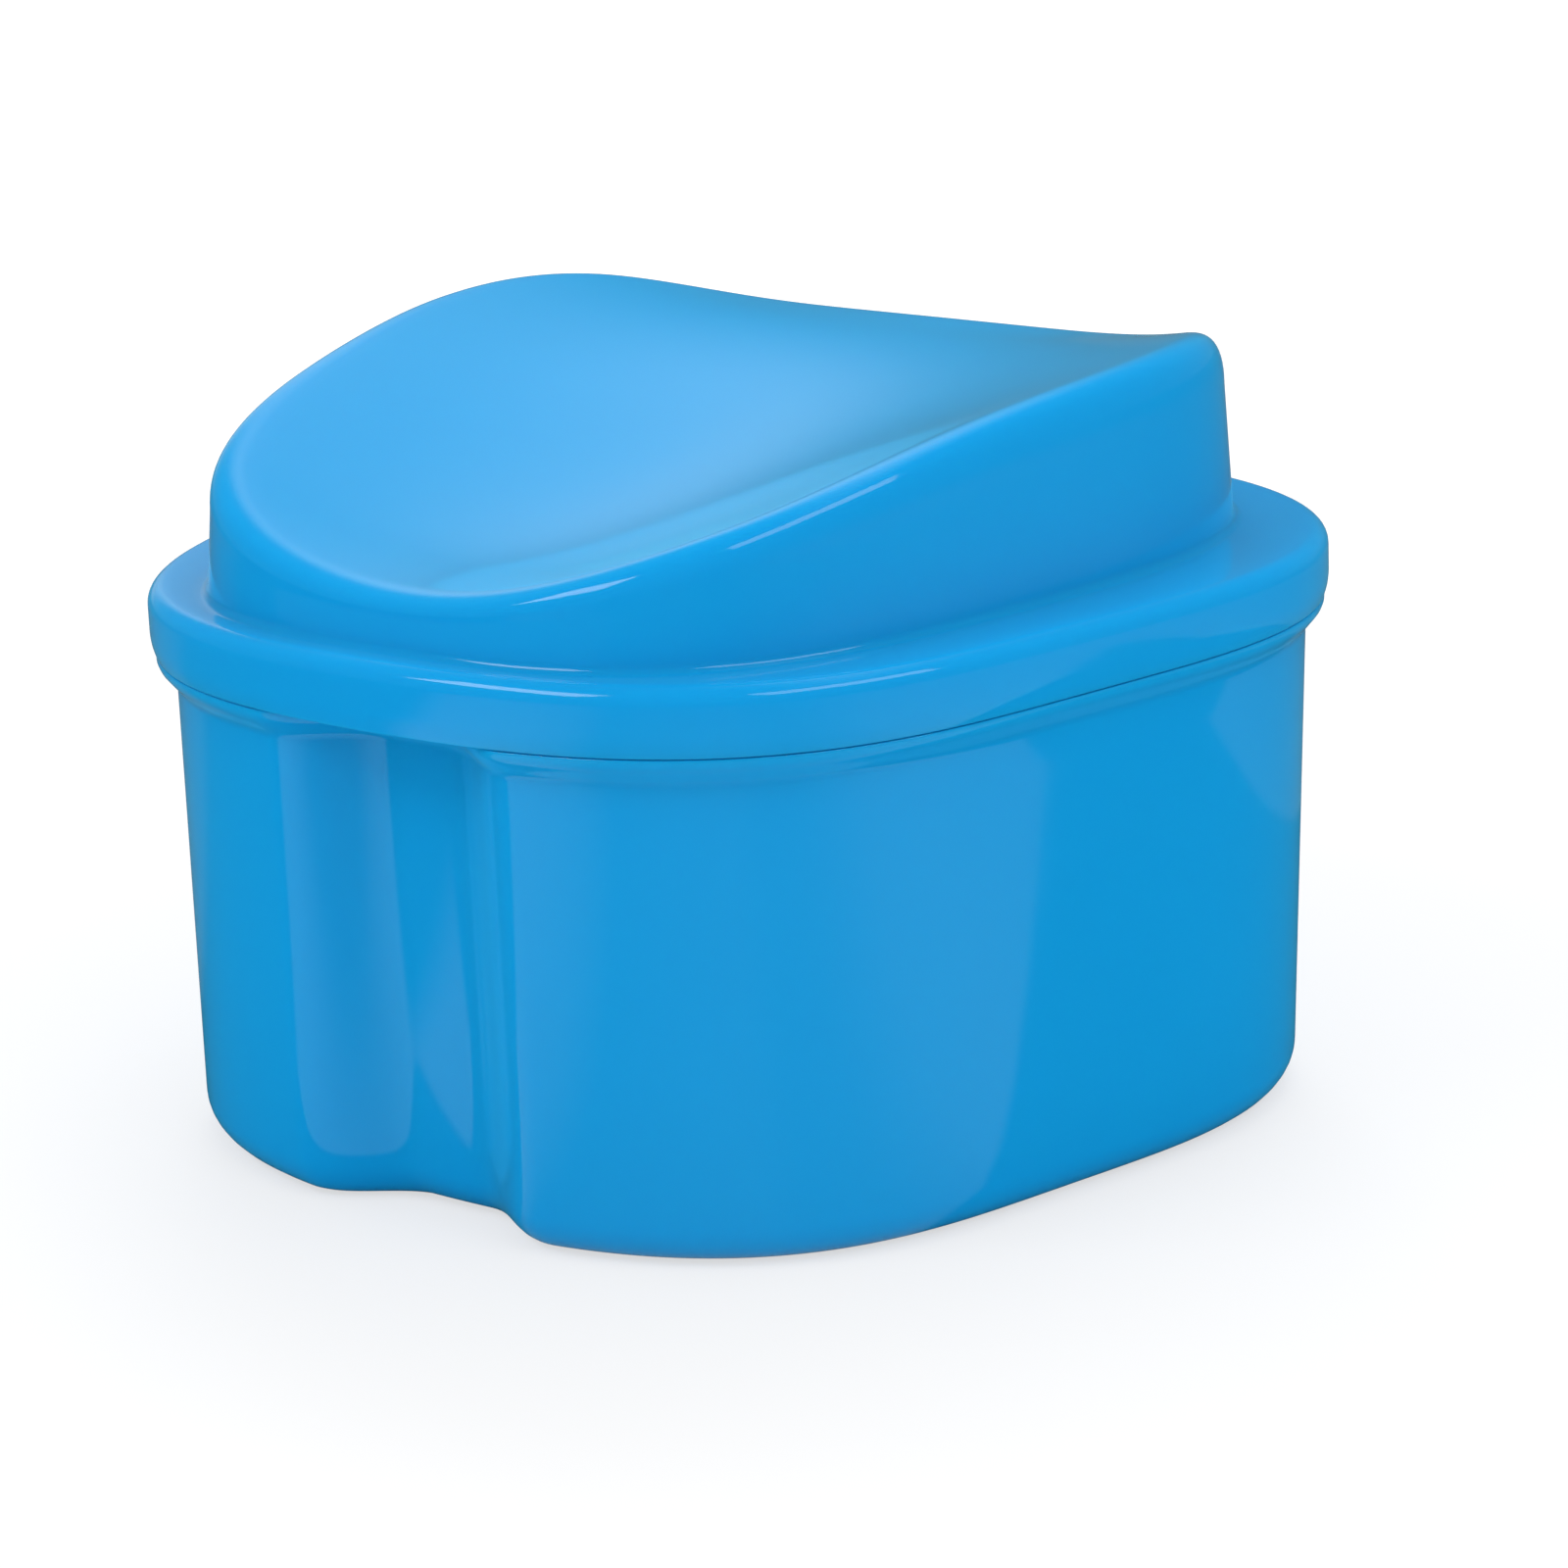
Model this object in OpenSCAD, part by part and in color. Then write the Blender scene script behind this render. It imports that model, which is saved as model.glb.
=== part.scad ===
// Denture case: a bath tub, a strainer basket that hangs in it, and a domed lift-off lid.
// Millimetres. +Z is up, the thumb notch faces -Y, and the origin is under the middle of the case.

/* [Overall] */
// Width of the lid, the widest piece
case_w = 95; // [85:1:110]
// Depth of the lid, front to back
case_d = 90; // [80:1:105]
// Height of the closed case, to the crest of the dome
case_h = 65; // [62:0.5:80]
// How much wider the back of the outline is than its front
taper = 0.046; // [0.02:0.002:0.06]
// How square the outline is
squareness = 0.044; // [0.02:0.002:0.06]
// How far the sides belly out behind the middle
belly = 0.011; // [0:0.001:0.02]
// Size of the small broken edges of all three pieces
soft = 0.3; // [0.1:0.05:0.35]

/* [Lid] */
// Thickness of the lid's skirt, flange and dome
lid_wall = 1.5; // [1.2:0.1:2]
// Height of the lower edge of the skirt above the table
skirt_z = 42.5; // [38:0.5:44]
// Height of the skirt, from its lower edge to the top of the flange
skirt_h = 5.7; // [5.2:0.1:8]
// Radius of the flange's upper outer edge
flange_r = 1.5; // [0.5:0.1:2]
// How far the skirt draws in at its lower edge
skirt_tuck = 0.35; // [0:0.05:0.6]
// Height over which the skirt draws in
skirt_tuck_h = 2; // [1:0.1:3]

/* [Dome] */
// Width of the flange's ledge at each side of the dome
ledge_side = 8.5; // [7.5:0.1:12]
// Width of that ledge behind the dome
ledge_back = 5.5; // [4:0.1:9]
// Width of that ledge before the dome
ledge_front = 3.7; // [3:0.1:7]
// Ovalness of the dome's outline
dome_oval = -0.042; // [-0.08:0.002:0]
// Squareness of the dome's outline
dome_square = 0.054; // [0.03:0.001:0.065]
// How far the dome's wall leans in, per unit of height
dome_draft = 0.042; // [0:0.001:0.06]
// Radius of the hollow fillet at the foot of the dome
dome_foot_r = 0.8; // [0.4:0.1:1.5]
// How far in from the wall the dome's rounded upper edge reaches
dome_edge_in = 3.2; // [2:0.1:4]
// How much of the wall's height that rounded edge takes up
dome_edge_share = 0.26; // [0.15:0.01:0.35]
// Drop of the valley's front end below the crest, as a share of the dome's height
valley_front_dip = 0.595; // [0.42:0.005:0.65]
// Drop of the valley's back end below the crest, as a share of the dome's height
valley_back_dip = 0.095; // [0:0.005:0.3]
// Where the valley starts to climb, measured in front of the middle
climb_start = 30.9; // [22:0.1:36]
// Where the valley stops climbing, measured behind the middle
climb_end = 29.5; // [24:0.1:36]
// Rise of the shoulders above the valley at the front, as a share of the dome's height
shoulder_front = 0.524; // [0.36:0.002:0.7]
// The same at the back
shoulder_back = 0.274; // [0.12:0.002:0.54]
// Extra rise of the shoulders halfway back, as a share of the dome's height
shoulder_arch = 0.101; // [0:0.001:0.18]
// Forward swing of that rise, as a share of the dome's height
shoulder_swing = 0.095; // [0:0.001:0.24]
// How full the shoulders are at the front: above zero they are broad, below it narrow ridges
full_front = 0.47; // [0:0.01:0.6]
// How full the shoulders are at the back
full_back = -1.2; // [-1.4:0.01:0]
// How late the change between the two comes, from front to back
full_power = 6; // [2:1:8]

/* [Tub] */
// Thickness of the tub's wall
tub_wall = 1.6; // [1.2:0.1:2.2]
// Height of the tub's inner floor above the table
tub_floor = 2; // [1.6:0.1:3]
// Inset of the wall from the lid's outline, just under the rim band
wall_inset = 2; // [1.8:0.1:3]
// How far the foot stands in from the lid's outline at each side
foot_in_side = 2; // [1.6:0.1:5]
// How far the foot stands in at the back
foot_in_back = 4.8; // [3:0.1:8]
// How far the foot stands in at the front
foot_in_front = 2.2; // [2:0.1:5]
// Radius of the foot's outer edge
foot_r = 3.5; // [2:0.1:5]
// Radius inside, between the floor and the wall
inner_r = 3; // [1:0.1:5]
// Depth of the hollow under the floor
recess_depth = 0.5; // [0.2:0.1:0.8]
// Width of the standing rim round that hollow
standing_w = 4; // [2:0.5:8]
// Inset of the band's outer face from the lid's outline
band_inset = 0.4; // [0.2:0.1:0.8]
// Height of the band's upright face
band_face_h = 0.7; // [0.4:0.1:1.5]

/* [Thumb notch] */
// Depth of the notch
notch_depth = 4.7; // [3:0.1:5.5]
// Width of the notch at its flat bottom
notch_floor_w = 6; // [3:0.5:10]
// Width of the notch at its mouth
notch_mouth_w = 26; // [20:0.5:30]

/* [Basket] */
// Thickness of the basket's wall
basket_wall_t = 1.3; // [1:0.1:1.8]
// Thickness of the basket's floor
basket_floor_t = 1.5; // [1.2:0.1:2.5]
// Thickness of the basket's lip
lip_t = 1.4; // [1:0.1:2]
// Height of the basket's underside above the tub's floor
standoff = 6; // [4.5:0.5:10]
// How far the basket's wall leans in from lip to floor
basket_lean = 1; // [0.5:0.1:2]
// Radius between the basket's floor and its wall
basket_r = 3; // [2:0.1:4]
// Depth of the locating rib under the lip
rib_h = 2.5; // [1.5:0.1:4]
// Thickness of the locating rib
rib_t = 1.2; // [0.8:0.1:1.6]
// Diameter of a drain hole
hole_d = 4; // [2:0.1:5]
// Distance between drain holes
hole_pitch = 8; // [7:0.5:12]
// Solid margin between the drain holes and the edge of the floor
hole_margin = 3; // [2:0.5:8]
// Width of a drain slot in the wall
slot_w = 2.4; // [1.6:0.1:4]
// Height of a drain slot
slot_h = 16; // [8:0.5:20]
// Height of the slots' middle above the basket's floor
slot_up = 15; // [13:0.5:18]
// Angle between drain slots
slot_step = 18; // [15:3:30]
// Width of a finger tab
tab_w = 22; // [14:1:26]
// Height of a finger tab above the lip, as a share of the dome's height
tab_h = 0.685; // [0.4:0.005:0.7]
// Radius of the tab's upper corners
tab_r = 4; // [2:0.5:5]
// Height of the grip bead along the tab's top
bead_h = 2; // [1:0.1:3]
// How far the grip bead stands in from the tab
bead_t = 1; // [0.5:0.1:1.5]
// Distance of the tabs' middle behind the middle of the case
tab_y = 8; // [0:1:14]

/* [Fits] */
// Gap between the lid's skirt and the tub's neck
skirt_gap = 0.35; // [0.2:0.05:0.5]
// Gap between the skirt's lower edge and the band under it
seam_gap = 0.1; // [0.05:0.05:0.5]
// Gap between the lid and the basket's lip
stack_gap = 0.05; // [0.02:0.01:0.1]
// Gap between the locating rib and the tub's neck
rib_gap = 0.5; // [0.4:0.05:0.7]
// Gap between the basket's wall and the dome above it
basket_gap = 1; // [0.9:0.1:1.4]

/* [Hidden] */
$fn = 48;
plastic = "#2a9be0";

// Directions round the case, clockwise from the back: coarse, and fine across the thumb notch
fine_from = 162;
coarse_n = 27;
fine_n = 10;
half_turn = concat([for (i = [0:coarse_n - 1]) i * fine_from / coarse_n],
                   [for (i = [0:fine_n]) fine_from + i * (180 - fine_from) / fine_n]);
directions = concat(half_turn, [for (i = [len(half_turn) - 2:-1:1]) 360 - half_turn[i]]);
sides = len(directions);

// Heights
flange_z = skirt_z + skirt_h;
dome_h = case_h - flange_z;
ceiling_z = flange_z - lid_wall;
lip_top_z = ceiling_z - stack_gap;
rim_z = lip_top_z - lip_t;
band_top_z = skirt_z - seam_gap;
basket_z = tub_floor + standoff;
basket_in_z = basket_z + basket_floor_t;

// How far a cutter runs past the face it opens
past = 1;

// Insets from the lid's outline
skirt_in = skirt_tuck + lid_wall;
neck_inset = skirt_in + skirt_gap;
neck_in = neck_inset + tub_wall;

// The closed curve r = 1 + oval cos 2a - taper cos 3a - square cos 4a + belly cos 5a
function radius(a, oval, square) =
    1 + oval * cos(2 * a) - taper * cos(3 * a) - square * cos(4 * a) + belly * cos(5 * a);

// That curve stretched to a width and to its distances behind and before the middle
function outline(w, back, front, oval, square) =
    let (q = [for (a = directions) radius(a, oval, square) * [sin(a), cos(a)]],
         half = max([for (p = q) p.x]),
         y0 = min([for (p = q) p.y]),
         y1 = max([for (p = q) p.y]))
    [for (p = q) [p.x / half * w / 2, (p.y - y0) / (y1 - y0) * (back + front) - front]];

// Moves each point of a line inwards along its own normal
function inset(line, d) =
    [for (i = [0:sides - 1])
        let (t = line[(i + 1) % sides] - line[(i + sides - 1) % sides])
        line[i] - d * [-t.y, t.x] / norm(t)];

// The line part of the way from one to another
function between(low, high, share) =
    [for (i = [0:sides - 1]) low[i] + share * (high[i] - low[i])];

// Pushes the front of a line back into the thumb notch
function notch_share(x) =
    let (ramp = (notch_mouth_w - notch_floor_w) / 2,
         s = (abs(x) - notch_floor_w / 2) / ramp)
    s <= 0 ? 1 : s >= 1 ? 0 : (1 + cos(180 * s)) / 2;
function notched(line) =
    [for (p = line) [p.x, p.y + (p.y < 0 ? notch_depth * notch_share(p.x) : 0)]];

// A level ring of points
function level(line, z) = [for (p = line) [p.x, p.y, z]];

// A point of the quarter round between an upright line and a level one, at angle a
function round_in(r, a) = r * (1 - sin(a));
function round_up(r, a) = r * (1 - cos(a));

foot_w = case_w - 2 * foot_in_side;
foot_back = case_d / 2 - foot_in_back;
foot_front = case_d / 2 - foot_in_front;
dome_w = case_w - 2 * ledge_side;
dome_back = case_d / 2 - ledge_back;
dome_front = case_d / 2 - ledge_front;
lid_line = outline(case_w, case_d / 2, case_d / 2, 0, squareness);
foot_line = outline(foot_w, foot_back, foot_front, 0, squareness);
dome_line = outline(dome_w, dome_back, dome_front, dome_oval, dome_square);

// A solid through closed rings, from the point before the first ring to the point after the last
module loft(first, rings, last) {
    n = len(rings);
    points = concat([first], [for (ring = rings) each ring], [last]);
    end = len(points) - 1;
    faces = concat(
        [for (j = [0:sides - 1]) [0, 1 + (j + 1) % sides, 1 + j]],
        [for (k = [0:n - 2], j = [0:sides - 1], half = [0, 1])
            let (a = 1 + k * sides + j,
                 b = 1 + k * sides + (j + 1) % sides,
                 c = b + sides,
                 d = a + sides)
            half == 0 ? [a, b, c] : [a, c, d]],
        [for (j = [0:sides - 1]) [end, end - sides + j, end - sides + (j + 1) % sides]]);
    polyhedron(points = points, faces = faces, convexity = 10);
}

// A ring-shaped solid through closed rings, the last of which joins the first
module ring_loft(rings) {
    all = len(rings) * sides;
    faces = [for (k = [0:len(rings) - 1], j = [0:sides - 1], half = [0, 1])
        let (a = k * sides + j,
             b = k * sides + (j + 1) % sides,
             c = (b + sides) % all,
             d = (a + sides) % all)
        half == 0 ? [a, b, c] : [a, c, d]];
    polyhedron(points = [for (ring = rings) each ring], faces = faces, convexity = 10);
}

// Height of the dome's upper surface above the crest, before it is lowered to the case's height
function valley_share(y) =
    let (s = min(1, max(0, (y + climb_start) / (climb_start + climb_end))))
    s * s * (3 - 2 * s);
function dome_raw(p) =
    let (t = (p.y + dome_front) / (dome_front + dome_back),
         s = abs(p.x) / (dome_w / 2),
         bow = 4 * t * (1 - t),
         valley = -valley_front_dip + (valley_front_dip - valley_back_dip) * valley_share(p.y),
         rise = shoulder_front + (shoulder_back - shoulder_front) * t
             + shoulder_arch * bow + shoulder_swing * sin(360 * t),
         full = full_front + (full_back - full_front) * pow(t, full_power))
    dome_h * (valley + rise * s * s * (1 + 2 * full * (1 - s)));

// How far straight down the inner face lies under that surface, so that the wall keeps its thickness
probe = 0.5;
function lean(p) =
    norm([dome_raw(p + [probe, 0]) - dome_raw(p - [probe, 0]),
          dome_raw(p + [0, probe]) - dome_raw(p - [0, probe])]) / (2 * probe);
function sunk(p, wall) = wall * sqrt(1 + pow(lean(p), 2));

// The dome's leaning wall, and its rounded upper edge from the wall (u = 0) to the top (u = 1)
function wall_line(d, z) = inset(dome_line, dome_draft * (z - flange_z) + d);
function edge_ring(u, wall, lift) =
    let (edge_z = case_h - dome_edge_in,
         corner = wall_line(wall, edge_z),
         inner = wall_line(wall + dome_edge_in, edge_z))
    [for (i = [0:sides - 1])
        let (p = corner[i] + u * u * (inner[i] - corner[i]),
             z1 = dome_raw(corner[i]) - sunk(corner[i], wall),
             z0 = z1 - dome_edge_share * (z1 + dome_h),
             z2 = dome_raw(inner[i]) - sunk(inner[i], wall))
        [p.x, p.y, lift + (1 - u) * (1 - u) * z0 + 2 * u * (1 - u) * z1 + u * u * z2]];
edge_steps = [0.2, 0.4, 0.6, 0.8, 1];
crest = max([for (u = edge_steps) max([for (p = edge_ring(u, 0, 0)) p.z])]);
dome_lift = case_h - crest;
function dome_ring(share, wall) =
    [for (p = wall_line(wall + dome_edge_in, case_h - dome_edge_in))
        let (q = share * p)
        [q.x, q.y, dome_lift + dome_raw(q) - sunk(q, wall)]];
top_shares = [0.88, 0.74, 0.58, 0.4, 0.2];

// The lid: dome, flange and skirt in one moulding
function lid_inside() =
    concat(
        [for (i = [len(top_shares) - 1:-1:0]) dome_ring(top_shares[i], lid_wall)],
        [for (u = [1, 0.7, 0.4, 0]) edge_ring(u, lid_wall, dome_lift)],
        [level(wall_line(lid_wall, ceiling_z), ceiling_z + dome_foot_r),
         level(inset(dome_line, lid_wall - dome_foot_r), ceiling_z),
         level(inset(lid_line, skirt_in + 2 * soft), ceiling_z),
         level(inset(lid_line, skirt_in), ceiling_z - 2 * soft),
         level(inset(lid_line, skirt_in), skirt_z)]);
function lid_outside() =
    concat(
        [for (s = [0, 0.5, 1])
            level(inset(lid_line, skirt_tuck * pow(1 - s, 2)), skirt_z + s * skirt_tuck_h)],
        [for (a = [0:22.5:90])
            level(inset(lid_line, round_up(flange_r, a)), flange_z - round_in(flange_r, a))],
        [for (a = [0:30:90])
            level(inset(dome_line, -round_in(dome_foot_r, a)), flange_z + round_up(dome_foot_r, a))],
        [edge_ring(0, 0, dome_lift)],
        [for (u = edge_steps) edge_ring(u, 0, dome_lift)],
        [for (share = top_shares) dome_ring(share, 0)]);
module lid() {
    top_z = dome_lift + dome_raw([0, 0]);
    color(plastic)
    loft([0, 0, top_z - lid_wall], concat(lid_inside(), lid_outside()), [0, 0, top_z]);
}

// The tub: a leaning wall with the thumb notch, a rim band outside and a neck inside the lid
tub_line = inset(lid_line, wall_inset);
inner_foot_line = inset(foot_line, tub_wall);
inner_rim_line = inset(lid_line, neck_in);
band_drop = wall_inset - band_inset;
wall_top_z = band_top_z - band_face_h - band_drop;
// Profile of the cove under the band: shares of the band's stand-out, outwards and upwards
cove = [[0.2, 0.15], [0.7, 0.7], [1, 1.2]];
function tub_ring(share, d, z) = level(notched(inset(between(foot_line, tub_line, share), d)), z);
function inner_ring(d, z) =
    level(notched(inset(between(inner_foot_line, inner_rim_line, z / rim_z), d)), z);
function band_ring(d, z) = level(notched(inset(lid_line, d)), z);
module base_tub() {
    foot_rings = [for (a = [0:18:90])
        tub_ring(round_up(foot_r, a) / wall_top_z, round_in(foot_r, a), round_up(foot_r, a))];
    wall_rings = [tub_ring(0.5, 0, wall_top_z / 2), tub_ring(1, 0, wall_top_z - soft)];
    cove_rings = [for (q = cove)
        band_ring(wall_inset - q.x * band_drop, wall_top_z + q.y * band_drop)];
    band_rings = [
        band_ring(band_inset, band_top_z - soft / 2),
        band_ring(band_inset + soft / 2, band_top_z),
        band_ring(neck_inset, band_top_z)];
    rim_rings = [
        band_ring(neck_inset, rim_z - soft),
        band_ring(neck_inset + soft, rim_z),
        band_ring(neck_in - soft, rim_z)];
    inner_rings = concat(
        [inner_ring(0, rim_z - soft), inner_ring(0, rim_z / 2)],
        [for (a = [90:-30:0])
            inner_ring(round_in(inner_r, a), tub_floor + round_up(inner_r, a))]);
    color(plastic)
    difference() {
        loft([0, 0, 0],
            concat(foot_rings, wall_rings, cove_rings, band_rings, rim_rings, inner_rings),
            [0, 0, tub_floor]);
        translate([0, 0, -past])
            linear_extrude(past + recess_depth)
                polygon(notched(inset(foot_line, foot_r + standing_w)));
    }
}

// The basket: a perforated cup that hangs by its lip, with two finger tabs under the dome's shoulders.
// Its front runs straight across behind the thumb notch. The wall stands on the floor's edge.
basket_front = dome_front - lid_wall - basket_gap - notch_depth;
basket_line = [for (p = inset(dome_line, lid_wall + basket_gap)) [p.x, max(p.y, -basket_front)]];
basket_foot_line = inset(basket_line, basket_lean);
floor_turn = acos(1 - basket_floor_t / basket_r);
function basket_ring(d, z) =
    let (share = (z - basket_z) / (rim_z - basket_z))
    level(inset(between(basket_foot_line, basket_line, share), d), z);
function basket_round(a) = basket_ring(round_in(basket_r, a), basket_z + round_up(basket_r, a));
module basket_cup() {
    rib_in = neck_in + rib_gap;
    outside = concat(
        [for (i = [0:2]) basket_round(floor_turn + i * (90 - floor_turn) / 2)],
        [basket_ring(0, rim_z),
         band_ring(rib_in + rib_t, rim_z),
         band_ring(rib_in + rib_t, rim_z - rib_h),
         band_ring(rib_in, rim_z - rib_h),
         band_ring(rib_in, rim_z),
         band_ring(neck_inset + soft, rim_z),
         band_ring(neck_inset, rim_z + soft),
         band_ring(neck_inset, lip_top_z - soft),
         band_ring(neck_inset + soft, lip_top_z)]);
    ring_loft(concat(outside,
        [basket_ring(basket_wall_t, lip_top_z), basket_ring(basket_wall_t, basket_in_z)]));
}
module drain_slot() {
    translate([0, 0, dome_front / 2])
        linear_extrude(dome_front)
            union() {
                square([slot_w, slot_h - slot_w], center = true);
                for (s = [-1, 1])
                    translate([0, s * (slot_h - slot_w) / 2]) circle(d = slot_w);
            }
}
module drain_slots() {
    for (a = [slot_step / 2:slot_step:180], s = [-1, 1])
        translate([0, 0, basket_in_z + slot_up])
            rotate([90, 0, s * a + 180]) drain_slot();
}
module drain_holes() {
    reach = inset(basket_foot_line, basket_r + hole_margin + hole_d / 2);
    cells = ceil(case_w / hole_pitch / 2);
    for (i = [-cells:cells], j = [-cells:cells]) {
        x = (i + (j % 2 == 0 ? 0 : 0.5)) * hole_pitch;
        y = j * hole_pitch * sin(60);
        if (inside_line([x, y], reach))
            translate([x, y, basket_z - past]) cylinder(d = hole_d, h = basket_floor_t + 2 * past);
    }
}
// Whether a point lies inside a closed line, by counting the sides that a ray crosses
function inside_line(q, line) =
    let (hits = [for (i = [0:sides - 1])
        let (a = line[i], b = line[(i + 1) % sides])
        if ((a.y > q.y) != (b.y > q.y)
            && q.x < a.x + (q.y - a.y) / (b.y - a.y) * (b.x - a.x)) 1])
    len(hits) % 2 == 1;
module tab_face(low, h) {
    translate([tab_y, low])
        union() {
            translate([-tab_w / 2, 0]) square([tab_w, h - tab_r]);
            translate([-tab_w / 2 + tab_r, 0]) square([tab_w - 2 * tab_r, h]);
            for (s = [-1, 1])
                translate([s * (tab_w / 2 - tab_r), h - tab_r]) circle(r = tab_r);
        }
}
module wall_ring(t) {
    difference() {
        polygon(basket_line);
        polygon(inset(basket_line, t));
    }
}
module finger_tabs() {
    root_z = rim_z + lip_t / 2;
    top_z = lip_top_z + tab_h * dome_h;
    intersection() {
        union() {
            translate([0, 0, root_z]) linear_extrude(top_z - root_z + past) wall_ring(basket_wall_t);
            translate([0, 0, top_z - bead_h])
                linear_extrude(bead_h + past) wall_ring(basket_wall_t + bead_t);
        }
        rotate([90, 0, 90])
            translate([0, 0, -case_w / 2])
                linear_extrude(case_w) tab_face(root_z, top_z - root_z);
    }
}
module basket_wall() {
    color(plastic)
    union() {
        difference() {
            basket_cup();
            drain_slots();
        }
        finger_tabs();
    }
}
module basket_floor() {
    color(plastic)
    difference() {
        loft([0, 0, basket_z], [for (i = [0:2]) basket_round(i * floor_turn / 2)],
            [0, 0, basket_in_z]);
        drain_holes();
    }
}

base_tub();
basket_wall();
basket_floor();
lid();
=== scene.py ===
"""Denture case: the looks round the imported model. Lengths here are in millimetres until they reach a mesh."""
import math

import bpy
import numpy as np
from mathutils import Matrix, Vector


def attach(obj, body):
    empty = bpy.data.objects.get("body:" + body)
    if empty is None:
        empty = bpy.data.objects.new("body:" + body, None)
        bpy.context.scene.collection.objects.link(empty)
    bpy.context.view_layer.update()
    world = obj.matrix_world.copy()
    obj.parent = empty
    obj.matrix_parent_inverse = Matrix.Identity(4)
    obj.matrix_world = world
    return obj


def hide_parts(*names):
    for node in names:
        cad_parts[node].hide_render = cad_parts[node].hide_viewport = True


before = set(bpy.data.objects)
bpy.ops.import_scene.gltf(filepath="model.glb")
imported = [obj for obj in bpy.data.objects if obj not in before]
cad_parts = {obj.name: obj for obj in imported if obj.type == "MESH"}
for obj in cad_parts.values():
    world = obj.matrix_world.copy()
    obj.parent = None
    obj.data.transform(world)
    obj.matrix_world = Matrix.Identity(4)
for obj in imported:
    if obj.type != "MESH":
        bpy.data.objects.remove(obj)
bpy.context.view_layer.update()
MM = 0.001

# Sizes of the model, under the names that the part's source gives them
case_w, case_d, case_h = 95, 90, 65
taper, squareness, belly = 0.046, 0.044, 0.011
lid_wall, skirt_z, skirt_h = 1.5, 42.5, 5.7
flange_r, skirt_tuck, skirt_tuck_h = 1.5, 0.35, 2
ledge_side, ledge_back, ledge_front = 8.5, 5.5, 3.7
dome_oval, dome_square, dome_draft = -0.042, 0.054, 0.042
dome_foot_r, dome_edge_in, dome_edge_share = 0.8, 3.2, 0.26
valley_front_dip, valley_back_dip = 0.595, 0.095
climb_start, climb_end = 30.9, 29.5
shoulder_front, shoulder_back, shoulder_arch, shoulder_swing = 0.524, 0.274, 0.101, 0.095
full_front, full_back, full_power = 0.47, -1.2, 6
tub_wall, tub_floor, wall_inset = 1.6, 2, 2
foot_in_side, foot_in_back, foot_in_front, foot_r, inner_r = 2, 4.8, 2.2, 3.5, 3
recess_depth, standing_w, band_inset, band_face_h = 0.5, 4, 0.4, 0.7
notch_depth, notch_floor_w, notch_mouth_w = 4.7, 6, 26
basket_wall_t, basket_floor_t, lip_t, standoff = 1.3, 1.5, 1.4, 6
basket_lean, basket_r, rib_h, rib_t = 1, 3, 2.5, 1.2
hole_d, hole_pitch, hole_margin = 4, 8, 3
slot_w, slot_h, slot_up, slot_step = 2.4, 16, 15, 18
tab_w, tab_h, tab_r, bead_h, bead_t, tab_y = 22, 0.685, 4, 2, 1, 8
skirt_gap, seam_gap, stack_gap, rib_gap, basket_gap = 0.35, 0.1, 0.05, 0.5, 1

flange_z = skirt_z + skirt_h
dome_h = case_h - flange_z
ceiling_z = flange_z - lid_wall
lip_top_z = ceiling_z - stack_gap
rim_z = lip_top_z - lip_t
band_top_z = skirt_z - seam_gap
basket_z = tub_floor + standoff
basket_in_z = basket_z + basket_floor_t
skirt_in = skirt_tuck + lid_wall
neck_inset = skirt_in + skirt_gap
neck_in = neck_inset + tub_wall

# Small rounds that only the visual model has
edge_r, skirt_edge_r, band_edge_r, rim_edge_r, ceiling_r = 0.3, 0.12, 0.08, 0.4, 0.6
# How far inside a round a flat face gets a ring of its own, so that the round's shading stops there
flat_start = 0.3

# Directions round the case, clockwise from the back, finer across the thumb notch
half = np.concatenate([np.arange(0, 159, 1.5), np.arange(159, 180.01, 0.6)])
DIRECTIONS = np.radians(np.concatenate([half, 360 - half[-2:0:-1]]))
AROUND = len(DIRECTIONS)


def outline(w, back, front, oval, square):
    a = DIRECTIONS
    r = 1 + oval * np.cos(2 * a) - taper * np.cos(3 * a) - square * np.cos(4 * a) + belly * np.cos(5 * a)
    x, y = r * np.sin(a), r * np.cos(a)
    y = (y - y.min()) / (y.max() - y.min()) * (back + front) - front
    return np.stack([x / x.max() * w / 2, y], 1)


def inset(line, d):
    """Moves each point inwards along the line's normal."""
    before, after = line - np.roll(line, 1, 0), np.roll(line, -1, 0) - line
    tangent = before / np.linalg.norm(before, axis=1)[:, None]
    tangent += after / np.linalg.norm(after, axis=1)[:, None]
    tangent /= np.linalg.norm(tangent, axis=1)[:, None]
    return line - d * np.stack([-tangent[:, 1], tangent[:, 0]], 1)


def notched(line):
    s = (np.abs(line[:, 0]) - notch_floor_w / 2) / ((notch_mouth_w - notch_floor_w) / 2)
    share = (1 + np.cos(np.pi * np.clip(s, 0, 1))) / 2
    return np.stack([line[:, 0], line[:, 1] + np.where(line[:, 1] < 0, notch_depth * share, 0)], 1)


def level(line, z):
    return np.column_stack([line, np.broadcast_to(z, len(line))])


dome_w = case_w - 2 * ledge_side
dome_back, dome_front = case_d / 2 - ledge_back, case_d / 2 - ledge_front
lid_line = outline(case_w, case_d / 2, case_d / 2, 0, squareness)
foot_line = outline(case_w - 2 * foot_in_side, case_d / 2 - foot_in_back, case_d / 2 - foot_in_front,
                    0, squareness)
dome_line = outline(dome_w, dome_back, dome_front, dome_oval, dome_square)


# Rings of points: each function gives the ring at inset d and height z
def lid_ring(d, z):
    return level(inset(lid_line, d), z)


def rim_ring(d, z):
    return level(notched(inset(lid_line, d)), z)


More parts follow.
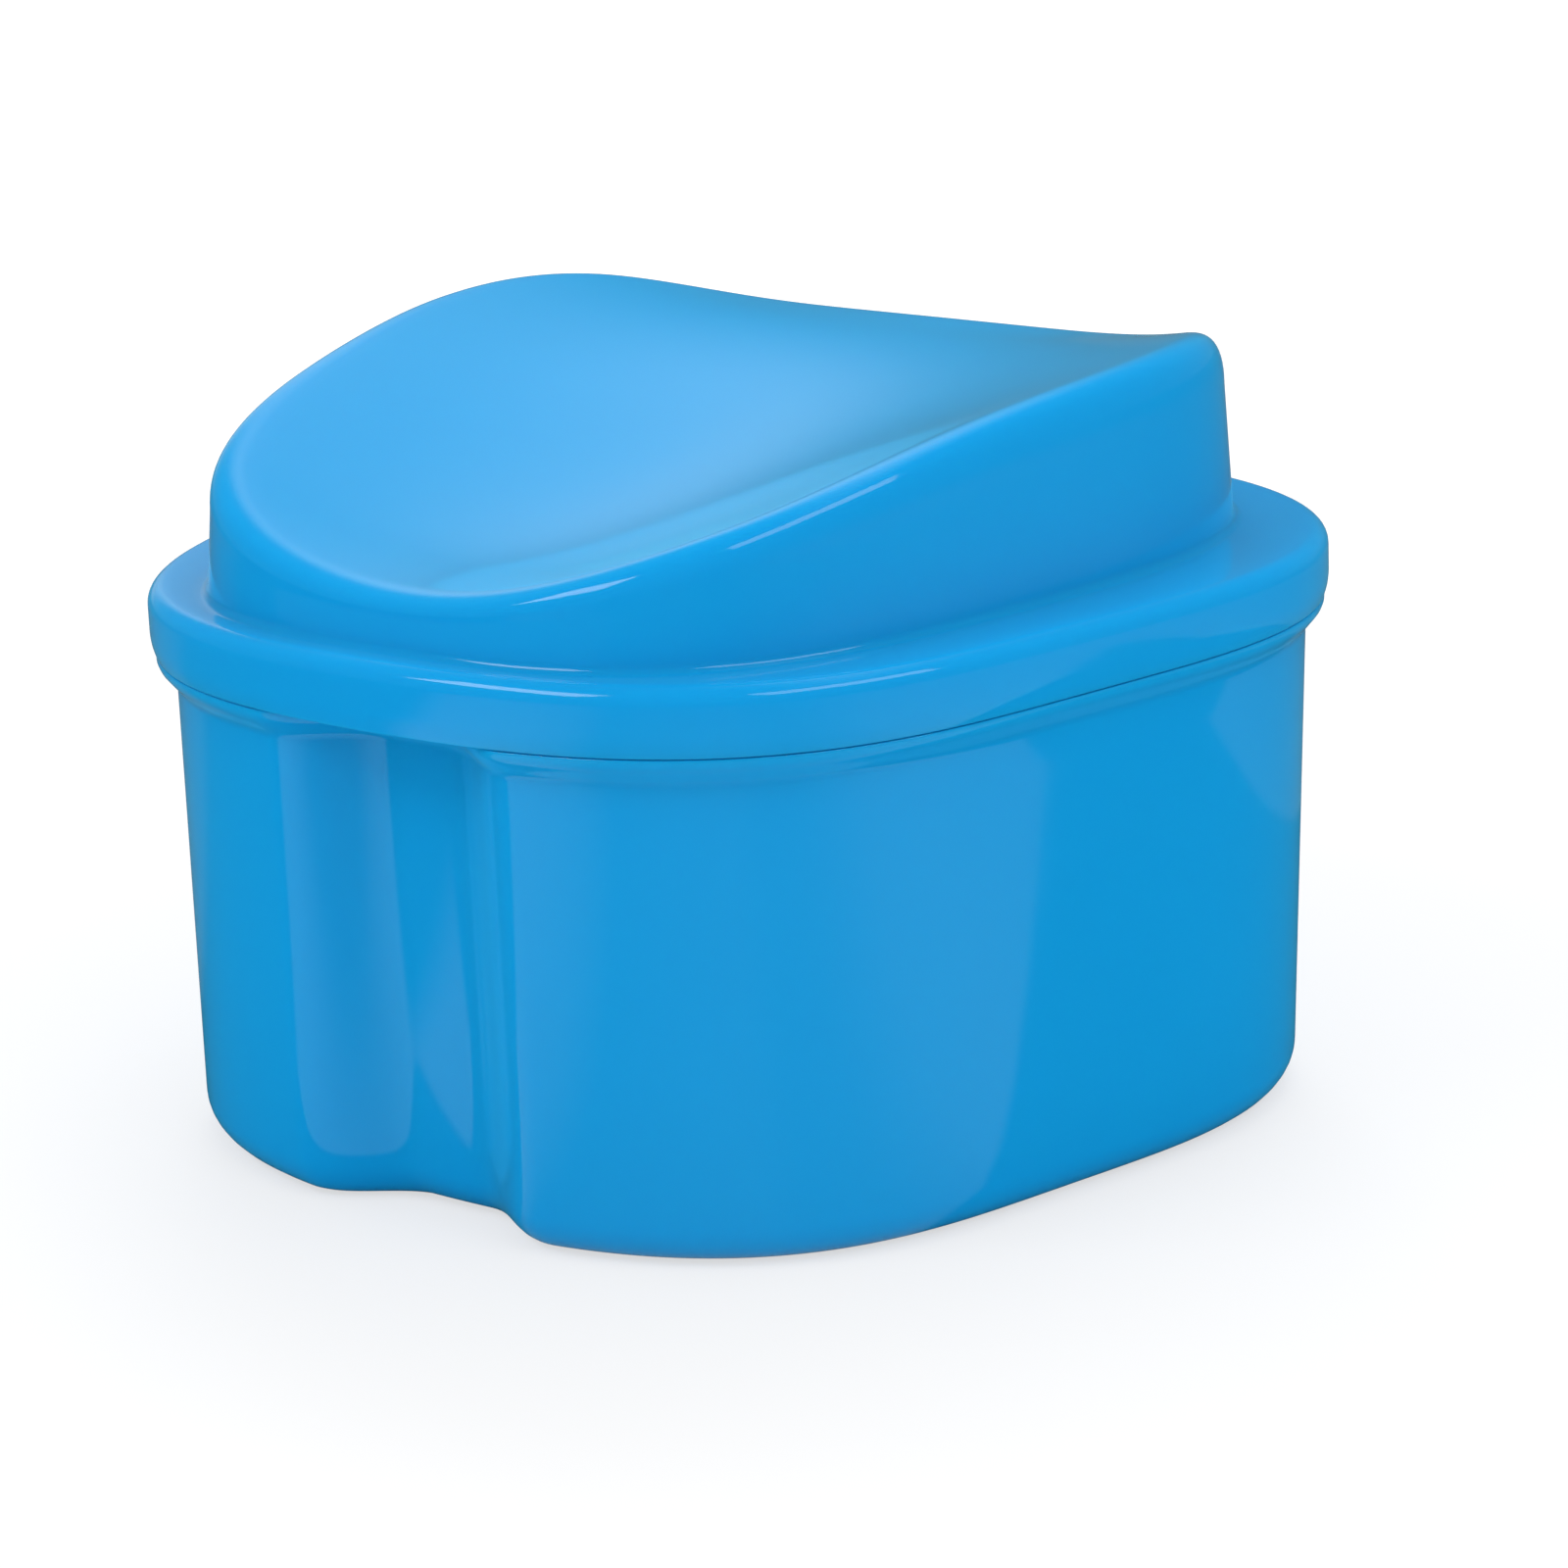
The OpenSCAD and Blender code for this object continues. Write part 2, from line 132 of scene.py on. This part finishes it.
def dome_foot_ring(d, z):
    return level(inset(dome_line, d), z)


def rounded(ring, d, z, r, inward, up, steps):
    """Rings round a quarter turn, from the upright face at inset d to the level face at height z."""
    return [ring(d + inward * r * (1 - math.cos(a)), z + up * r * (1 - math.sin(a)))
            for a in np.linspace(0, math.pi / 2, steps)]


def broken(ring, d, z, r, inward, up, middle=0.3):
    """Three rings over a small edge, from the upright face at inset d to the level face at height z."""
    return [ring(d + inward * s * r, z + up * t * r) for s, t in ((0, 1), (middle, middle), (1, 0))]


def blended(low, high, steps):
    """Rings strictly between two others, so that shading follows long upright walls."""
    return [low + (high - low) * s for s in np.linspace(0, 1, steps + 2)[1:-1]]


def dome_raw(p):
    """Height of the dome's upper surface before it is lowered to the case's height."""
    x, y = p[..., 0], p[..., 1]
    t = (y + dome_front) / (dome_front + dome_back)
    s = np.abs(x) / (dome_w / 2)
    bow = 4 * t * (1 - t)
    climb = np.clip((y + climb_start) / (climb_start + climb_end), 0, 1)
    valley = -valley_front_dip + (valley_front_dip - valley_back_dip) * climb * climb * (3 - 2 * climb)
    rise = shoulder_front + (shoulder_back - shoulder_front) * t + shoulder_arch * bow
    rise = rise + shoulder_swing * np.sin(2 * math.pi * t)
    full = full_front + (full_back - full_front) * t ** full_power
    return dome_h * (valley + rise * s * s * (1 + 2 * full * (1 - s)))


def sunk(p, wall):
    """How far straight down the inner face lies, so that the wall keeps its thickness."""
    e = 0.5
    gx = (dome_raw(p + [e, 0]) - dome_raw(p - [e, 0])) / (2 * e)
    gy = (dome_raw(p + [0, e]) - dome_raw(p - [0, e])) / (2 * e)
    return wall * np.sqrt(1 + gx * gx + gy * gy)


def wall_line(d, z):
    return inset(dome_line, dome_draft * (z - flange_z) + d)


def edge_ring(u, wall, lift):
    """The ring at share u of the dome's rounded edge, from its wall to its upper surface."""
    edge_z = case_h - dome_edge_in
    outer, inner = wall_line(wall, edge_z), wall_line(wall + dome_edge_in, edge_z)
    p = outer + u * u * (inner - outer)
    z1 = dome_raw(outer) - sunk(outer, wall)
    z0 = z1 - dome_edge_share * (z1 + dome_h)
    z2 = dome_raw(inner) - sunk(inner, wall)
    return np.column_stack([p, lift + (1 - u) ** 2 * z0 + 2 * u * (1 - u) * z1 + u * u * z2])


EDGE_SHARES = np.linspace(0, 1, 15)
dome_lift = case_h - max(edge_ring(u, 0, 0)[:, 2].max() for u in EDGE_SHARES)


def dome_ring(share, wall):
    q = share * wall_line(wall + dome_edge_in, case_h - dome_edge_in)
    return np.column_stack([q, dome_lift + dome_raw(q) - sunk(q, wall)])


def make_object(name, points, faces):
    mesh = bpy.data.meshes.new(name)
    mesh.from_pydata([tuple(c * MM for c in p) for p in points], [], faces)
    obj = bpy.data.objects.new(name, mesh)
    bpy.context.scene.collection.objects.link(obj)
    return obj


def loft(name, first, rings, last):
    """A smooth closed skin through rings of points, from a point before the first to one after the last."""
    n, end = AROUND, len(rings) * AROUND + 1
    faces = [(0, 1 + j, 1 + (j + 1) % n) for j in range(n)]
    for k in range(len(rings) - 1):
        a = 1 + k * n
        faces += [(a + j, a + n + j, a + n + (j + 1) % n, a + (j + 1) % n) for j in range(n)]
    faces += [(end, end - n + (j + 1) % n, end - n + j) for j in range(n)]
    obj = make_object(name, np.vstack([[first]] + rings + [[last]]), faces)
    obj.data.shade_smooth()
    return obj


def make_lid():
    rings = [dome_ring(s, lid_wall) for s in np.linspace(0.1, 0.95, 12)]
    rings += [edge_ring(u, lid_wall, dome_lift) for u in np.linspace(1, 0, 8)]
    low = level(wall_line(lid_wall, ceiling_z), ceiling_z + dome_foot_r)
    rings += blended(rings[-1], low, 3) + [low]
    rings += rounded(dome_foot_ring, lid_wall, ceiling_z, dome_foot_r, -1, 1, 5)[1:]
    rings += rounded(lid_ring, skirt_in, ceiling_z, ceiling_r, 1, -1, 5)[::-1]
    rings += broken(lid_ring, skirt_in, skirt_z, skirt_edge_r, -1, 1)
    rings += broken(lid_ring, skirt_tuck, skirt_z, skirt_edge_r, 1, 1)[:0:-1]
    rings += [lid_ring(skirt_tuck * (1 - s) ** 2, skirt_z + skirt_edge_r + s * (skirt_tuck_h - skirt_edge_r))
              for s in np.linspace(0, 1, 6)]
    rings += rounded(lid_ring, 0, flange_z, flange_r, 1, -1, 9)
    foot = rounded(dome_foot_ring, 0, flange_z, dome_foot_r, -1, 1, 7)[::-1]
    rings += blended(rings[-1], foot[0], 3) + foot
    edge = [edge_ring(u, 0, dome_lift) for u in EDGE_SHARES]
    rings += blended(rings[-1], edge[0], 5) + edge
    rings += [dome_ring(s, 0) for s in np.linspace(1, 0.04, 30)[1:]]
    top = dome_lift + float(dome_raw(np.zeros(2)))
    return loft("lid_shell", (0, 0, top - lid_wall), rings, (0, 0, top))


def make_tub():
    tub_line = inset(lid_line, wall_inset)
    inner_foot, inner_rim = inset(foot_line, tub_wall), inset(lid_line, neck_in)
    band_drop = wall_inset - band_inset
    wall_top = band_top_z - band_face_h - band_drop

    def wall(share, d, z):
        return level(notched(inset(foot_line + share * (tub_line - foot_line), d)), z)

    def underside(d, z):
        return wall(0, d, z)

    def outer(d, z):
        return wall(z / wall_top, d, z)

    def inner(d, z):
        return level(notched(inset(inner_foot + z / rim_z * (inner_rim - inner_foot), d)), z)

    hollow = foot_r + standing_w
    rings = broken(underside, hollow, recess_depth, edge_r, 1, -1, 1 / 3)[::-1]
    rings += broken(underside, hollow, 0, edge_r, -1, 1, 1 / 3)[1:] + [underside(foot_r + 0.5, 0)]
    rings += rounded(outer, 0, 0, foot_r, 1, 1, 10)[::-1]
    below_band = wall(1, 0, wall_top - 0.5)
    rings += blended(rings[-1], below_band, 12) + [below_band, rim_ring(wall_inset - 0.03, wall_top - 0.2)]
    rings += [rim_ring(wall_inset - out * band_drop, wall_top + up * band_drop)
              for out, up in ((0.2, 0.15), (0.45, 0.4), (0.7, 0.7), (0.9, 0.95), (1, 1.2))]
    rings += broken(rim_ring, band_inset, band_top_z, band_edge_r, 1, -1, 0.25)
    rings += [rim_ring(neck_inset - 0.1, band_top_z), rim_ring(neck_inset, band_top_z + 0.1)]
    rings += broken(rim_ring, neck_inset, rim_z, edge_r, 1, -1)
    rings += broken(rim_ring, neck_in, rim_z, edge_r, -1, -1)[:0:-1]
    top = inner(0, rim_z - edge_r)
    rings += [top] + blended(top, inner(0, tub_floor + inner_r), 8)
    rings += rounded(inner, 0, tub_floor, inner_r, 1, 1, 8) + [inner(inner_r + flat_start, tub_floor)]
    return loft("tub_shell", (0, 0, recess_depth), rings, (0, 0, tub_floor))


def prism(line, z0, z1):
    """Points and faces of an upright prism over a closed line, counter-clockwise from above."""
    n = len(line)
    points = [(x, y, z0) for x, y in line] + [(x, y, z1) for x, y in line]
    faces = [tuple(range(n - 1, -1, -1)), tuple(range(n, 2 * n))]
    faces += [(i, (i + 1) % n, n + (i + 1) % n, n + i) for i in range(n)]
    return points, faces


def joined(name, solids):
    points, faces = [], []
    for p, f in solids:
        faces += [tuple(i + len(points) for i in face) for face in f]
        points += p
    return make_object(name, points, faces)


def combine(obj, tool, operation):
    """Cuts the tool from the object, or adds it, and writes the result into the object's mesh."""
    mod = obj.modifiers.new("combine", "BOOLEAN")
    mod.operation, mod.object, mod.solver = operation, tool, "MANIFOLD"
    bpy.context.view_layer.update()
    graph = bpy.context.evaluated_depsgraph_get()
    mesh = bpy.data.meshes.new_from_object(obj.evaluated_get(graph))
    obj.modifiers.clear()
    obj.data = mesh
    bpy.data.objects.remove(tool)


def inside_line(x, y, line):
    a, b = line, np.roll(line, -1, 0)
    crossing = (a[:, 1] > y) != (b[:, 1] > y)
    with np.errstate(divide="ignore", invalid="ignore"):
        at = a[:, 0] + (y - a[:, 1]) / (b[:, 1] - a[:, 1]) * (b[:, 0] - a[:, 0])
    return bool(np.sum(crossing & (x < at)) % 2)


def cup_line(d):
    """The basket's outline, moved inwards: the dome's, cut off straight behind the thumb notch."""
    line = inset(dome_line, lid_wall + basket_gap + d)
    front = notch_depth + lid_wall + basket_gap + d - dome_front
    return np.stack([line[:, 0], np.maximum(line[:, 1], front)], 1)


def cup(d, z):
    return level(cup_line(d + basket_lean * (rim_z - z) / (rim_z - basket_z)), z)


def basket_shell():
    rib_in = neck_in + rib_gap
    rib_out, rib_foot = rib_in + rib_t, rim_z - rib_h
    rings = [cup(basket_r + flat_start, basket_z)] + rounded(cup, 0, basket_z, basket_r, 1, 1, 8)[::-1]
    top = cup(0, rim_z - edge_r)
    rings += blended(rings[-1], top, 6) + [top, cup(-edge_r, rim_z)]
    rings += [rim_ring(d, z) for d, z in (
        (rib_out, rim_z), (rib_out, rib_foot + edge_r), (rib_out - edge_r, rib_foot),
        (rib_in + edge_r, rib_foot), (rib_in, rib_foot + edge_r), (rib_in, rim_z),
        (neck_inset + 0.2, rim_z), (neck_inset, rim_z + 0.2))]
    rings += broken(rim_ring, neck_inset, lip_top_z, edge_r, 1, -1)
    rings += broken(cup, basket_wall_t, lip_top_z, rim_edge_r, -1, -1, 0.25)[::-1]
    round_up = rounded(cup, basket_wall_t, basket_in_z, basket_r - basket_wall_t, 1, 1, 7)
    rings += blended(rings[-1], round_up[0], 6) + round_up + [cup(basket_r + flat_start, basket_in_z)]
    return loft("basket_shell", (0, 0, basket_z), rings, (0, 0, basket_in_z))


def drain_cutters():
    """Round holes through the basket's floor, in staggered rows, and upright slots through its wall."""
    cutters = []
    reach = cup_line(basket_lean + basket_r + hole_margin + hole_d / 2)
    cells = math.ceil(case_w / hole_pitch / 2)
    turns = np.linspace(0, 2 * math.pi, 48, endpoint=False)
    for j in range(-cells, cells + 1):
        for i in range(-cells, cells + 1):
            x, y = (i + j % 2 / 2) * hole_pitch, j * hole_pitch * math.sin(math.radians(60))
            if inside_line(x, y, reach):
                disc = [(x + hole_d / 2 * math.cos(a), y + hole_d / 2 * math.sin(a)) for a in turns]
                cutters.append(prism(disc, basket_z - 1, basket_in_z + 1))
    slot = [(slot_w / 2 * math.cos(a), (slot_h - slot_w) / 2 + slot_w / 2 * math.sin(a))
            for a in np.linspace(0, math.pi, 17)]
    slot += [(-x, -y) for x, y in slot]
    points, faces = prism(slot, dome_front / 2, 1.5 * dome_front)
    lift = Matrix.Translation((0, 0, basket_in_z + slot_up))
    outwards = Matrix.Rotation(math.pi / 2, 4, "X")
    for k in range(int(180 / slot_step)):
        for side in (-1, 1):
            spin = Matrix.Rotation(math.radians(180 + side * (k + 0.5) * slot_step), 4, "Z")
            place = lift @ spin @ outwards
            cutters.append(([tuple(place @ Vector(p)) for p in points], faces))
    return joined("basket_cutters", cutters)


def finger_tab(name, side):
    """An upright tab on the basket's lip with rounded upper corners and a bead along its inner top."""
    root_z, top_z = rim_z + lip_t / 2, lip_top_z + tab_h * dome_h
    inner = basket_wall_t - 0.03
    right = cup_line(0)
    right = right[right[:, 0] > 0]
    right = right[np.argsort(right[:, 1])]
    rows = []
    for w in np.linspace(-tab_w / 2, tab_w / 2, 45):
        past = max(0, abs(w) - (tab_w / 2 - tab_r))
        high = top_z - tab_r + math.sqrt(max(0, tab_r ** 2 - past ** 2))
        x = float(np.interp(tab_y + w, right[:, 1], right[:, 0]))
        bead_low = min(top_z - bead_h, high - 0.02)
        thick = inner + (bead_t if high > bead_low + 0.05 else 0)
        section = [(0, root_z), (0, high - 0.3), (0.1, high - 0.1), (0.3, high), (thick - 0.3, high),
                   (thick - 0.1, high - 0.1), (thick, high - 0.3), (thick, bead_low + 0.4),
                   (thick - 0.3, bead_low), (inner, bead_low - 0.2), (inner, root_z)]
        rows.append([(side * (x - d), tab_y + w, z) for d, z in section])
    n, last = len(rows[0]), len(rows) - 1
    points = [p for row in rows for p in row]
    faces = [(a * n + i, a * n + (i + 1) % n, (a + 1) * n + (i + 1) % n, (a + 1) * n + i)
             for a in range(last) for i in range(n)]
    faces += [tuple(range(n - 1, -1, -1)), tuple(last * n + i for i in range(n))]
    return make_object(name, points, [f[::-1] for f in faces] if side > 0 else faces)


def make_basket():
    basket = basket_shell()
    combine(basket, drain_cutters(), "DIFFERENCE")
    for name, side in (("tab_left", -1), ("tab_right", 1)):
        combine(basket, finger_tab(name, side), "UNION")
    basket.data.set_sharp_from_angle(angle=math.radians(35))
    return basket


class Tree:
    """Adds nodes to a material's or the world's tree; an input is a value or another node's output."""

    def __init__(self, block):
        block.use_nodes = True
        self.nodes, self.links = block.node_tree.nodes, block.node_tree.links
        self.nodes.clear()

    def node(self, kind, inputs, settings):
        node = self.nodes.new("ShaderNode" + kind)
        for key, value in settings.items():
            setattr(node, key, value)
        for slot, value in inputs:
            if isinstance(value, bpy.types.NodeSocket):
                self.links.new(value, node.inputs[slot])
            else:
                node.inputs[slot].default_value = value
        return node

    def add(self, kind, *inputs, out=0, **settings):
        return self.node(kind, inputs, settings).outputs[out]

    def end(self, kind, source):
        self.node(kind, [(0, source)], {})

    def ramp(self, source, stops):
        """A ramp through stops of a position and a grey level or a colour."""
        node = self.node("ValToRGB", [(0, source)], {})
        ends = node.color_ramp.elements
        while len(ends) < len(stops):
            ends.new(0.5)
        for element, (position, value) in zip(ends, stops):
            element.position = position
            element.color = (*(value if isinstance(value, tuple) else (value,) * 3), 1)
        return node.outputs[0]

    def maths(self, operation, *values):
        return self.add("Math", *enumerate(values), operation=operation)

    def dot(self, vector, direction):
        return self.add("VectorMath", (0, vector), (1, direction), operation="DOT_PRODUCT", out="Value")

    def remap(self, value, low, high, start=0.0, end=1.0):
        """The value taken from low to high onto start to end, and held beyond them."""
        return self.add("MapRange", ("Value", value), ("From Min", low), ("From Max", high),
                        ("To Min", start), ("To Max", end))


def srgb(r, g, b):
    return tuple(c / 255 / 12.92 if c < 11 else ((c / 255 + 0.055) / 1.055) ** 2.4 for c in (r, g, b))


# Materials: glossy polypropylene, coloured through, with a mould's faint waviness and uneven gloss
def plastic(name, colour):
    mat = bpy.data.materials.new(name)
    tree = Tree(mat)
    place = tree.add("TexCoord", out="Object")

    def noise(scale, detail):
        return tree.add("TexNoise", ("Vector", place), ("Scale", scale), ("Detail", detail))

    deep, pale = (tuple(min(1, c * k) for c in colour) for k in (0.97, 1.03))
    shade = tree.ramp(noise(18, 3), ((0.3, deep), (0.7, pale)))
    rough = tree.remap(noise(60, 4), 0, 1, 0.05, 0.09)
    wave = tree.add("Bump", ("Height", noise(45, 2)), ("Strength", 0.08), ("Distance", 0.0006))
    tree.end("OutputMaterial", tree.add(
        "BsdfPrincipled", ("Base Color", shade), ("Roughness", rough), ("Normal", wave), ("IOR", 1.49),
        ("Subsurface Weight", 0.3), ("Subsurface Radius", (0.3, 0.8, 1.0)), ("Subsurface Scale", 0.004),
        ("Sheen Weight", 0.25), ("Sheen Roughness", 0.4), ("Sheen Tint", (0.2, 0.8, 1, 1))))
    return mat


BLUE = srgb(12, 153, 218)
PIECES = ((make_tub(), ("base_tub",), "tub", "tub_plastic"), (make_lid(), ("lid",), "lid", "lid_plastic"),
          (make_basket(), ("basket_wall", "basket_floor"), "basket", "basket_plastic"))
for piece, nodes, body, slot in PIECES:
    piece.data.materials.clear()
    piece.data.materials.append(plastic(slot + "_look", BLUE))
    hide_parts(*nodes)
    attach(piece, body)


def around(azimuth, elevation, distance):
    """A point at an angle right of the front, at a height angle and at a distance in metres."""
    a, e = math.radians(azimuth), math.radians(elevation)
    return Vector((math.sin(a) * math.cos(e), -math.cos(a) * math.cos(e), math.sin(e))) * distance


# Floor: white paper. The camera sees it whiter still away from the case. The gloss of the plastic sees
# on it only painted light: a glowing sector in front, darker in the middle, and another behind, with painted
# shadow between them.
bpy.ops.mesh.primitive_plane_add(size=8, location=(0, 0, -0.00002))
floor = bpy.context.object
floor.name = "floor"
paper = bpy.data.materials.new("floor_paper_painted_gloss")
tree = Tree(paper)
camera_ray = tree.add("LightPath", out="Is Camera Ray")
glossy_ray = tree.add("LightPath", out="Is Glossy Ray")
spot = tree.add("TexCoord", out="Object")
away = tree.add("VectorMath", (0, spot), operation="LENGTH", out="Value")
matt = tree.add("BsdfDiffuse", ("Color", tree.remap(camera_ray, 0, 1, 0.8, 0.3)))
whiter = tree.remap(away, 0.08, 0.6, 0.64, 0.95)
glow = tree.add("Emission", ("Strength", tree.maths("MULTIPLY", camera_ray, whiter)))
seen = tree.add("AddShader", (0, matt), (1, glow))

# The painted lit sectors: degrees right of the front, and the level of painted light there
PAINTED_LIGHT_SECTORS = ((-170, 0.08), (-150, 0.45), (-132, 0.45), (-112, 0.08), (-82, 0.08), (-74, 0), (-28, 0),
           (-23, 0.48), (-8, 0.5), (2, 0.36), (10, 0.13), (26, 0.18), (40, 0.22), (50, 0.17), (60, 0.2),
           (70, 0.3), (78, 0.4), (92, 0.42), (104, 0.36), (122, 0.3), (140, 0.15), (150, 0.1), (170, 0.07))
x = tree.add("SeparateXYZ", (0, spot), out="X")
y = tree.add("SeparateXYZ", (0, spot), out="Y")
azimuth = tree.maths("ARCTAN2", x, tree.maths("MULTIPLY", y, -1.0))
turn = tree.remap(azimuth, -math.pi, math.pi)
painted_sector_level = tree.ramp(turn, [((a + 180) / 360, v) for a, v in PAINTED_LIGHT_SECTORS])
# Where the painted light lies: before a line in front of the case, behind it, or to its left; elsewhere is
# painted shadow
before = tree.remap(tree.dot(spot, around(33, 0, 1)), 0.038, 0.039)
behind = tree.remap(y, 0.098, 0.102)
beside = tree.remap(x, -0.035, -0.03, 1.0, 0.0)
lit = tree.maths("MAXIMUM", before, tree.maths("MAXIMUM", behind, beside))
reach = tree.remap(away, 0.17, 0.5, 1.0, 0.25)
# Painted light on the floor, seen only by gloss rays: an emission that stands in for lit paper, fading with
# distance
painted_floor_light = tree.add("Emission", ("Strength", tree.maths("MULTIPLY", tree.maths("MULTIPLY", painted_sector_level, lit), reach)))
tree.end("OutputMaterial", tree.add("MixShader", (0, glossy_ray), (1, seen), (2, painted_floor_light)))
floor.data.materials.append(paper)

# World: white to the camera, an even light to the object, and to its gloss a dark room with one soft glow
# high behind the case, drawn out along a slanting line
world = bpy.data.worlds.new("studio")
bpy.context.scene.world = world
tree = Tree(world)
camera_ray = tree.add("LightPath", out="Is Camera Ray")
glossy_ray = tree.add("LightPath", out="Is Glossy Ray")
ray = tree.add("TexCoord", out="Generated")
middle = around(-140, 39, 1)
sideways = Vector((0, 0, 1)).cross(middle).normalized()
along = tree.dot(ray, middle.cross(sideways))
slanted = tree.maths("ADD", tree.dot(ray, sideways), tree.maths("MULTIPLY", along, 0.45))
spread = tree.maths("ADD", tree.maths("POWER", tree.maths("DIVIDE", slanted, 0.17), 2.0),
                    tree.maths("POWER", tree.maths("DIVIDE", along, 0.66), 2.0))
this_side = tree.maths("GREATER_THAN", tree.dot(ray, middle), 0.0)
glow = tree.maths("MULTIPLY", tree.maths("EXPONENT", tree.maths("MULTIPLY", spread, -1.0)), this_side)
lit = tree.add("Mix", ("Factor", glossy_ray), ("A", tree.remap(glow, 0, 1, 0.98, 5.0)),
               ("B", tree.remap(glow, 0, 1, 0.1, 1.05)))
strength = tree.add("Mix", ("Factor", camera_ray), ("A", lit), ("B", 1.0))
tree.end("OutputWorld", tree.add("Background", ("Strength", strength)))


def panel(name, azimuth, elevation, size, radiance):
    """A studio light panel that faces the case."""
    lamp = bpy.data.lights.new(name, "AREA")
    lamp.shape, lamp.size, lamp.size_y = "RECTANGLE", size[0], size[1]
    lamp.energy = radiance * math.pi * size[0] * size[1]
    obj = bpy.data.objects.new(name, lamp)
    obj.location = around(azimuth, elevation, 0.9) + Vector((0, 0, 0.03))
    obj.rotation_euler = around(azimuth, elevation, 1).to_track_quat("Z", "Y").to_euler()
    bpy.context.scene.collection.objects.link(obj)
    return obj


panel("key_left", -26, 46, (0.5, 0.24), 4.4)
panel("key_right", 82, 46, (0.72, 0.24), 2.4)
panel("fill_back", -160, 50, (0.6, 0.4), 1.8).visible_glossy = False

# Camera: azimuth, elevation, distance, roll and principal point fitted to the photograph's outlines
AZIMUTH, ELEVATION, DISTANCE, ROLL = 38.197, 15.543, 428.74, -2.528
FOCAL_PX, CENTRE_PX, FRAME_PX = 5095.1, (730.36, 740.30), 1600
AIM = Vector((0, 0, 32))
a, r = math.radians(AZIMUTH), math.radians(ROLL)
back = around(AZIMUTH, ELEVATION, 1)
right = Vector((math.cos(a), math.sin(a), 0))
up = back.cross(right)
side, top = math.cos(r) * right + math.sin(r) * up, -math.sin(r) * right + math.cos(r) * up
camera_data = bpy.data.cameras.new("camera")
camera_data.sensor_width = 36
camera_data.lens = FOCAL_PX / FRAME_PX * camera_data.sensor_width
camera_data.shift_x = (FRAME_PX / 2 - CENTRE_PX[0]) / FRAME_PX
camera_data.shift_y = (CENTRE_PX[1] - FRAME_PX / 2) / FRAME_PX
camera_data.clip_start, camera_data.clip_end = 0.01, 20
camera = bpy.data.objects.new("camera", camera_data)
place = (AIM + DISTANCE * back) * MM
camera.matrix_world = Matrix(((side.x, top.x, back.x, place.x), (side.y, top.y, back.y, place.y),
                              (side.z, top.z, back.z, place.z), (0, 0, 0, 1)))
bpy.context.scene.collection.objects.link(camera)
bpy.context.scene.camera = camera

bpy.context.scene.view_settings.view_transform = "Standard"
